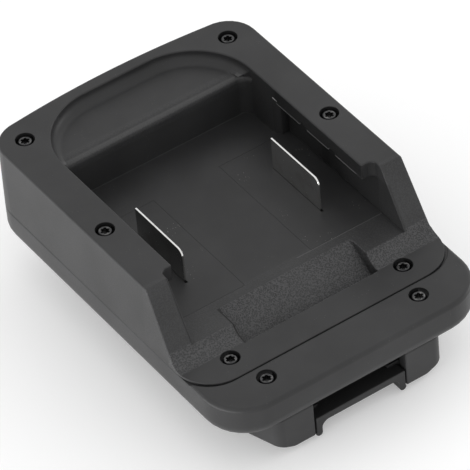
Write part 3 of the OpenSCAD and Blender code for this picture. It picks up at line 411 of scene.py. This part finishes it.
def drawnMetal(name, color, worn, roughness, stretch, depth=0.0000015, spread=0.10, cloud=260.0,
               outer=None):
    # Long streaks from rolling or drawing: a noise stretched along the piece. Clouds of wear are a
    # little duller. "outer" is painted shade on the rim of a screw head, from and to a distance from its
    # axis.
    material, tree, shader, place = startMaterial(name)
    mapped = addNode(tree, "ShaderNodeMapping", {"Vector": place, "Scale": stretch}).outputs[0]
    streaks = addNoise(tree, mapped, metalNoise["streakScale"], *metalNoise["streaks"])
    stain = addMapRange(tree, addNoise(tree, place, cloud, *metalNoise["wear"]), *metalNoise["wearRange"])
    shown = addMix(tree, stain, (*color, 1), (*worn, 1))
    rough = addMath(tree, "MULTIPLY_ADD", streaks, spread, roughness - spread / 2)
    if outer:
        distance = useGroup(tree, axisDistance, {"Vector": place})["Distance"]
        far = addMapRange(tree, distance, outer["from"], outer["to"])
        shown = addMix(tree, far, shown, (*outer["color"], 1))
        rough = addMath(tree, "MULTIPLY_ADD", far, outer["duller"], rough)
    rough = addMath(tree, "MULTIPLY_ADD", stain, metalNoise["duller"], rough)
    tree.links.new(shown, shader.inputs["Base Color"])
    tree.links.new(rough, shader.inputs["Roughness"])
    addBump(tree, shader, addMath(tree, "MULTIPLY", streaks, depth))
    shader.inputs["Metallic"].default_value = 1.0
    return material


metalLooks = {
    "blade": {"color": (0.76, 0.76, 0.75), "worn": (0.66, 0.65, 0.63), "roughness": 0.08,
              "stretch": (1, 0.06, 1), "depth": 0.0000002, "spread": 0.03},
    "clip": {"color": (0.72, 0.50, 0.22), "worn": (0.52, 0.34, 0.14), "roughness": 0.3,
             "stretch": (1, 0.08, 1)},
    "spring": {"color": (0.58, 0.59, 0.60), "worn": (0.42, 0.42, 0.43), "roughness": 0.28,
               "stretch": (1, 1, 1)},
    "innerScrew": {"color": (0.60, 0.60, 0.58), "worn": (0.48, 0.47, 0.42), "roughness": 0.34,
                   "stretch": (1, 1, 0.3)},
    "blackScrew": {"color": (0.060, 0.060, 0.061), "worn": (0.15, 0.148, 0.146), "roughness": 0.22,
                   "stretch": (1, 1, 0.3), "cloud": 800.0,
                   # the rim of the head gets painted shade, darker than the screw's own black
                   "outer": {"from": 0.00155, "to": 0.0018, "color": (0.010, 0.010, 0.011), "duller": 0.2}},
}
metals = {name: drawnMetal(name + "Metal", **look) for name, look in metalLooks.items()}


sleeveLook = {
    "red": ((0.36, 0.015, 0.012), (0.48, 0.028, 0.020)),        # dark and light
    "black": ((0.014, 0.014, 0.015), (0.026, 0.026, 0.027)),
    "scale": 420.0,
    "noise": (3.0, 0.6),            # detail and roughness
    "colorRange": (0.35, 0.7),      # parts of the noise that span the color and the roughness
    "roughRange": (0.3, 0.7),
    "roughness": (0.38, 0.5),
    "depth": 0.00001,
}


def wireSleeve(name, look, dark, light):
    # soft insulation with a slightly waxy bloom
    material, tree, shader, place = startMaterial(name)
    bloom = addNoise(tree, place, look["scale"], *look["noise"])
    color = addMix(tree, addMapRange(tree, bloom, *look["colorRange"]), (*dark, 1), (*light, 1))
    tree.links.new(color, shader.inputs["Base Color"])
    rough = addMapRange(tree, bloom, *look["roughRange"], *look["roughness"])
    tree.links.new(rough, shader.inputs["Roughness"])
    addBump(tree, shader, addMath(tree, "MULTIPLY", bloom, look["depth"]))
    return material


redSleeve = wireSleeve("redSleeve", sleeveLook, *sleeveLook["red"])
blackSleeve = wireSleeve("blackSleeve", sleeveLook, *sleeveLook["black"])

finishes = {
    "upper_housing": upperPlastic, "lower_housing": lowerPlastic, "tool_foot": footPlastic,
    "left_contact_carrier": carrierPlastic, "right_contact_carrier": carrierPlastic,
    "left_blade": metals["blade"], "right_blade": metals["blade"],
    "terminal_block": terminalPlastic, "positive_clip": metals["clip"], "negative_clip": metals["clip"],
    "positive_wire": redSleeve, "negative_wire": blackSleeve, "latch_button": latchPlastic,
    "left_latch_spring": metals["spring"], "right_latch_spring": metals["spring"],
    "rear_rim_screws": metals["blackScrew"], "mid_rim_screws": metals["blackScrew"],
    "deck_screws": metals["blackScrew"], "flange_screws": metals["blackScrew"],
    "foot_screws": metals["innerScrew"], "carrier_screws": metals["innerScrew"],
    "terminal_block_screws": metals["innerScrew"],
}
for name, finish in finishes.items():
    mesh = nodes[name].data
    mesh.materials.clear()
    mesh.materials.append(finish)
print("materials ready:", len(finishes))


# The solids have knife edges. These copies get the small round edges of molded and machined pieces.
# "finer" lists boxes in which the edges take a share of the width, 0 for none.
screwReach = 0.0030         # half the side of the box round a screw
windowReach = 0.0003        # how far the boxes reach round a carrier, and above and below its top
windowHeight = 0.0002


def screwBoxes(name, low, high, share):
    # a box round each screw of a pair
    x, y = screwCenter(name)
    return [((side * x - screwReach, y - screwReach, low),
             (side * x + screwReach, y + screwReach, high), share) for side in (-1, 1)]


def sideBoxes(low, high, share):
    return [(*box, share) for box in bothSides(low, high)]


def windowBoxes(share):
    # round the edges of the windows that the carriers fill
    boxes = []
    for name in ("left_contact_carrier", "right_contact_carrier"):
        (x0, y0, z0), (x1, y1, z1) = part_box(name)
        boxes.append(((x0 - windowReach, y0 - windowReach, z1 - windowHeight),
                      (x1 + windowReach, y1 + windowReach, z1 + windowHeight), share))
    return boxes


wide = 0.07     # past the adapter's sides
seamBox = ((-wide, -wide, 0.0237), (wide, wide, 0.0243), 0.25)
softLooks = {
    "upper_housing": {"width": 0.00038, "segments": 3, "finer": [
        seamBox, *windowBoxes(0),
        ((-wide, -wide, 0.0244), (wide, -0.0330, 0.0250), 0.45),                # rim of the deck
        ((-0.0345, -0.0325, 0.0268), (0.0345, -0.0285, 0.0278), 0.35),          # front edge of the floor
        *sideBoxes((0.0204, -0.0360, 0.0150), (0.0216, -0.0225, 0.0280), 0.3),  # sides of the recess
        *sideBoxes((0.0395, -0.0345, 0.0244), (0.0425, -0.0305, 0.0258), 0),    # outer ends of the slope
        ((-wide, -wide, 0.0200), (wide, wide, 0.0236), 0),                      # inside the lower shell
        ((-wide, -0.0300, 0.0251), (wide, 0.0540, 0.0256), 0),                  # underside of the floor
        *screwBoxes("rear_rim_screws", 0.040, 0.045, 0.35),
        *screwBoxes("mid_rim_screws", 0.040, 0.045, 0.35),
        *screwBoxes("deck_screws", 0.022, 0.026, 0.35)]},
    "lower_housing": {"width": 0.00035, "segments": 3, "finer": [
        ((-wide, -wide, 0.0240), (wide, wide, 0.0247), 0.3), seamBox,
        *screwBoxes("flange_screws", 0.020, 0.026, 0.35)]},
    "tool_foot": {"width": 0.00035, "segments": 3, "finer": []},
    "latch_button": {"width": 0.00025, "segments": 3, "finer": []},
}
for name in ("left_blade", "right_blade"):
    softLooks[name] = {"width": 0.00016, "segments": 3, "finer": []}
for name in caseScrews:
    softLooks[name] = {"width": 0.00014, "segments": 2, "finer": []}
sharpTurn = 32.0            # degrees; an edge that turns by more is sharp
flatTurn = 0.5              # degrees; faces that turn by less become one
mergeDistance = 0.000002
roundSpare = 1.2            # a round edge needs this many times its width beside it
largeFaceWeight = 90        # above the neutral 50 the larger faces count for more in the normals


def readMesh(mesh):
    # the mesh's corners, faces and points as arrays
    kinds = {
        "edge": (mesh.loops, "edge_index", np.int32, 1),
        "vert": (mesh.loops, "vertex_index", np.int32, 1),
        "start": (mesh.polygons, "loop_start", np.int32, 1),
        "total": (mesh.polygons, "loop_total", np.int32, 1),
        "normal": (mesh.polygons, "normal", np.float32, 3),
        "point": (mesh.vertices, "co", np.float32, 3),
        "ends": (mesh.edges, "vertices", np.int32, 2),
    }
    arrays = {}
    for key, (items, field, kind, width) in kinds.items():
        values = np.empty(len(items) * width, kind)
        items.foreach_get(field, values)
        arrays[key] = values.reshape(-1, width) if width > 1 else values
    return arrays


def edgeShares(mesh, width, finer):
    # An edge between two faces is sharp where their normals turn by more than sharpTurn, and it stands
    # out where the cross product of the normals runs along it. Such an edge gets a share of 1, or a
    # finer box's share inside that box. It gets 0 where a flat edge that starts at one of its ends
    # reaches too little away from it, which is that edge's length times the sine of the angle between
    # the two: the round edge would not fit.
    m = readMesh(mesh)
    loops = len(m["edge"])
    faceOf = np.repeat(np.arange(len(m["start"])), m["total"])
    following = np.arange(loops) + 1
    following[m["start"] + m["total"] - 1] = m["start"]
    order = np.argsort(m["edge"], kind="stable")
    count = np.bincount(m["edge"], minlength=len(m["ends"]))
    first = np.concatenate([[0], np.cumsum(count)[:-1]])
    pair = count == 2
    one, two = order[first[pair]], order[first[pair] + 1]
    normalOne, normalTwo = m["normal"][faceOf[one]], m["normal"][faceOf[two]]
    run = m["point"][m["vert"][following[one]]] - m["point"][m["vert"][one]]
    turn = np.degrees(np.arccos(np.clip((normalOne * normalTwo).sum(1), -1, 1)))
    standsOut = (np.cross(normalOne, normalTwo) * run).sum(1) > 0
    outer = np.zeros(len(m["ends"]), bool)
    outer[pair] = (turn > sharpTurn) & standsOut
    shares = np.where(outer, 1.0, 0.0)
    middle = (m["point"][m["ends"][:, 0]] + m["point"][m["ends"][:, 1]]) / 2
    for low, high, share in finer:
        inside = np.all((middle >= np.array(low)) & (middle <= np.array(high)), axis=1)
        shares[inside & outer] = np.minimum(shares[inside & outer], share)
    at = m["ends"].T.ravel()
    edge = np.tile(np.arange(len(m["ends"])), 2)
    way = m["point"][np.concatenate([m["ends"][:, 1], m["ends"][:, 0]])] - m["point"][at]
    order = np.argsort(at, kind="stable")
    at, edge, way = at[order], edge[order], way[order]
    reach = np.full(len(m["ends"]), 1.0)
    for step in range(1, int(np.bincount(at).max())):
        same = at[step:] == at[:-step]
        later, earlier = slice(step, None), slice(None, -step)
        for sharp, flat in ((later, earlier), (earlier, later)):
            use = same & outer[edge[sharp]] & ~outer[edge[flat]]
            sharpWay, flatWay = way[sharp][use], way[flat][use]
            away = np.linalg.norm(np.cross(sharpWay, flatWay), axis=1) / np.linalg.norm(sharpWay, axis=1)
            np.minimum.at(reach, edge[sharp][use], away)
    shares[reach < roundSpare * width * shares] = 0.0
    return shares


bodyOf = {name: "latch" if name == "latch_button" else "case" for name in nodes}


def softCopy(name, width, segments, finer):
    source = nodes[name]
    mesh = source.data.copy()
    work = bmesh.new()
    work.from_mesh(mesh)
    bmesh.ops.remove_doubles(work, verts=work.verts, dist=mergeDistance)
    bmesh.ops.dissolve_limit(work, angle_limit=math.radians(flatTurn), verts=work.verts, edges=work.edges)
    work.to_mesh(mesh)
    work.free()
    shares = edgeShares(mesh, width, finer)
    weights = mesh.attributes.new("bevel_weight_edge", "FLOAT", "EDGE")
    weights.data.foreach_set("value", shares.astype(np.float32))
    mesh.shade_smooth()
    mesh.set_sharp_from_angle(angle=math.radians(sharpTurn))
    piece = bpy.data.objects.new(name + "Soft", mesh)
    scene.collection.objects.link(piece)
    bevel = piece.modifiers.new("roundEdges", "BEVEL")
    bevel.limit_method = "WEIGHT"
    bevel.width = width
    bevel.segments = segments
    bevel.use_clamp_overlap = False
    bevel.harden_normals = True
    # where a round edge ends it leaves faces without area, which this closes
    closing = piece.modifiers.new("closeSlivers", "WELD")
    closing.merge_threshold = mergeDistance
    # a corner takes the normal of the largest face round it, so that flat faces look flat
    steady = piece.modifiers.new("steadyNormals", "WEIGHTED_NORMAL")
    steady.weight = largeFaceWeight
    steady.keep_sharp = True
    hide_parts(name)
    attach(piece, bodyOf[name])


for name, look in softLooks.items():
    softCopy(name, **look)
print("softened copies:", len(softLooks))


# Latch springs: one wire wound up, with nearly closed turns at both ends.
springLook = {
    "middle": (0.01745, -0.0490),   # metres, the right one
    "coilRadius": 0.001475,
    "wireRadius": 0.000225,
    "bottom": 0.0048,
    "top": 0.0139,
    "turns": 7,
    "endPitch": 0.00050,
    "keep": 0.56,                   # share of its height left when the latch is fully up
    "steps": 28,                    # rings in a turn
    "ring": 10,                     # points in a ring
}


def coilSpring(name, side, look):
    # The wire's middle goes round at the coil's radius and rises by endPitch over the first and last
    # turn and evenly between them. A circle of the wire's radius is set square to it at each step,
    # and a point in the middle of each end closes it.
    turns, ring = look["turns"], look["ring"]
    t = np.linspace(0, turns, turns * look["steps"] + 1)
    low, high = look["bottom"] + look["wireRadius"], look["top"] - look["wireRadius"]
    pitch = (high - low - 2 * look["endPitch"]) / (turns - 2)
    endTurns = np.minimum(t, 1) + np.maximum(t - turns + 1, 0)
    rise = look["endPitch"] * endTurns + pitch * (np.clip(t, 1, turns - 1) - 1)
    angle = 2 * math.pi * t
    x = side * look["middle"][0] + look["coilRadius"] * np.cos(angle)
    y = look["middle"][1] + look["coilRadius"] * np.sin(angle)
    center = np.stack([x, y, low + rise], 1)
    along = np.gradient(center, axis=0)
    along /= np.linalg.norm(along, axis=1)[:, None]
    out = np.stack([np.cos(angle), np.sin(angle), np.zeros_like(angle)], 1)
    up = np.cross(out, along)
    place = (2 * math.pi * np.arange(ring) / ring)[None, :, None]
    spokes = np.cos(place) * out[:, None] + np.sin(place) * up[:, None]
    rings = center[:, None] + look["wireRadius"] * spokes
    points = np.concatenate([rings.reshape(-1, 3), center[:1], center[-1:]])
    i, k = np.meshgrid(np.arange(len(t) - 1), np.arange(ring), indexing="ij")
    a, b = i * ring + k, i * ring + (k + 1) % ring
    quads = np.stack([a, a + ring, b + ring, b], -1).reshape(-1, 4)
    k = np.arange(ring)
    last = (len(t) - 1) * ring
    startCap = np.stack([k, (k + 1) % ring, np.full(ring, len(points) - 2)], 1)
    endCap = np.stack([last + (k + 1) % ring, last + k, np.full(ring, len(points) - 1)], 1)
    mesh = bpy.data.meshes.new(name)
    mesh.from_pydata(points.tolist(), [], quads.tolist() + startCap.tolist() + endCap.tolist())
    mesh.shade_smooth()
    mesh.materials.append(metals["spring"])
    spring = bpy.data.objects.new(name, mesh)
    scene.collection.objects.link(spring)
    return spring


for name, side in (("left_latch_spring", -1), ("right_latch_spring", 1)):
    spring = coilSpring(name + "Coil", side, springLook)
    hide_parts(name)
    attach(spring, "case")
    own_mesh(spring)
print("springs wound: 2")


floorLook = {
    "half": 4.0,            # metres from its middle to its sides
    "z": -0.0001,
    "color": 0.82,
    "lift": 0.24,           # what brings it up to white for the camera
}


def addFloor(name, look):
    mesh = bpy.data.meshes.new(name)
    half, z = look["half"], look["z"]
    mesh.from_pydata([(-half, -half, z), (half, -half, z), (half, half, z), (-half, half, z)], [],
                     [(0, 1, 2, 3)])
    plane = bpy.data.objects.new(name, mesh)
    scene.collection.objects.link(plane)
    return plane


def seesBackground(tree):
    # 1 for rays that look at the background: straight, mirrored or through glass
    path = addNode(tree, "ShaderNodeLightPath").outputs
    seen = addMath(tree, "MAXIMUM", path["Is Camera Ray"], path["Is Glossy Ray"])
    return addMath(tree, "MAXIMUM", seen, path["Is Transmission Ray"])


floor = addFloor("paleFloor", floorLook)
floorMaterial = bpy.data.materials.new("paleFloor")
floorMaterial.use_nodes = True
tree = floorMaterial.node_tree
tree.nodes.clear()
diffuse = addNode(tree, "ShaderNodeBsdfDiffuse", {"Color": grayColor(floorLook["color"])}).outputs[0]
lift = addNode(tree, "ShaderNodeEmission", {"Strength": floorLook["lift"]}).outputs[0]
lifted = addNode(tree, "ShaderNodeAddShader", {0: diffuse, 1: lift}).outputs[0]
seenFloor = addNode(tree, "ShaderNodeMixShader",
                    {0: seesBackground(tree), 1: diffuse, 2: lifted}).outputs[0]
addNode(tree, "ShaderNodeOutputMaterial", {0: seenFloor})
floor.data.materials.append(floorMaterial)

worldLook = {"light": 0.93, "seen": 1.0}
world = bpy.data.worlds.new("studio")
scene.world = world
world.use_nodes = True
tree = world.node_tree
tree.nodes.clear()
dim, white = (addNode(tree, "ShaderNodeBackground",
                      {"Color": grayColor(1), "Strength": worldLook[key]}).outputs[0]
              for key in ("light", "seen"))
shownWorld = addNode(tree, "ShaderNodeMixShader", {0: seesBackground(tree), 1: dim, 2: white}).outputs[0]
addNode(tree, "ShaderNodeOutputWorld", {0: shownWorld})

lampAim = (0, 0, 0.02)
lampLooks = {
    "leftCard": {"spot": (-0.55, -0.02, 0.027), "size": (0.9, 0.05), "watts": 2.8},
    "rightBackSoftbox": {"spot": (0.75, 0.50, 0.70), "size": (0.6, 0.5), "watts": 0.5},
    "topSoftbox": {"spot": (0.0, 0.0, 1.25), "size": (1.1, 1.1), "watts": 0.2},
    "rightStrip": {"spot": (0.95, -0.20, 0.15), "size": (0.3, 0.25), "watts": 1.4},
}


def addLamp(name, spot, size, watts):
    data = bpy.data.lights.new(name, "AREA")
    data.shape = "RECTANGLE"
    data.size, data.size_y = size
    data.energy = watts
    lamp = bpy.data.objects.new(name, data)
    lamp.location = spot
    lamp.rotation_euler = (Vector(lampAim) - Vector(spot)).to_track_quat("-Z", "Y").to_euler()
    scene.collection.objects.link(lamp)


for name, look in lampLooks.items():
    addLamp(name, **look)
scene.view_settings.view_transform = "Standard"
print("lights ready:", len(lampLooks))
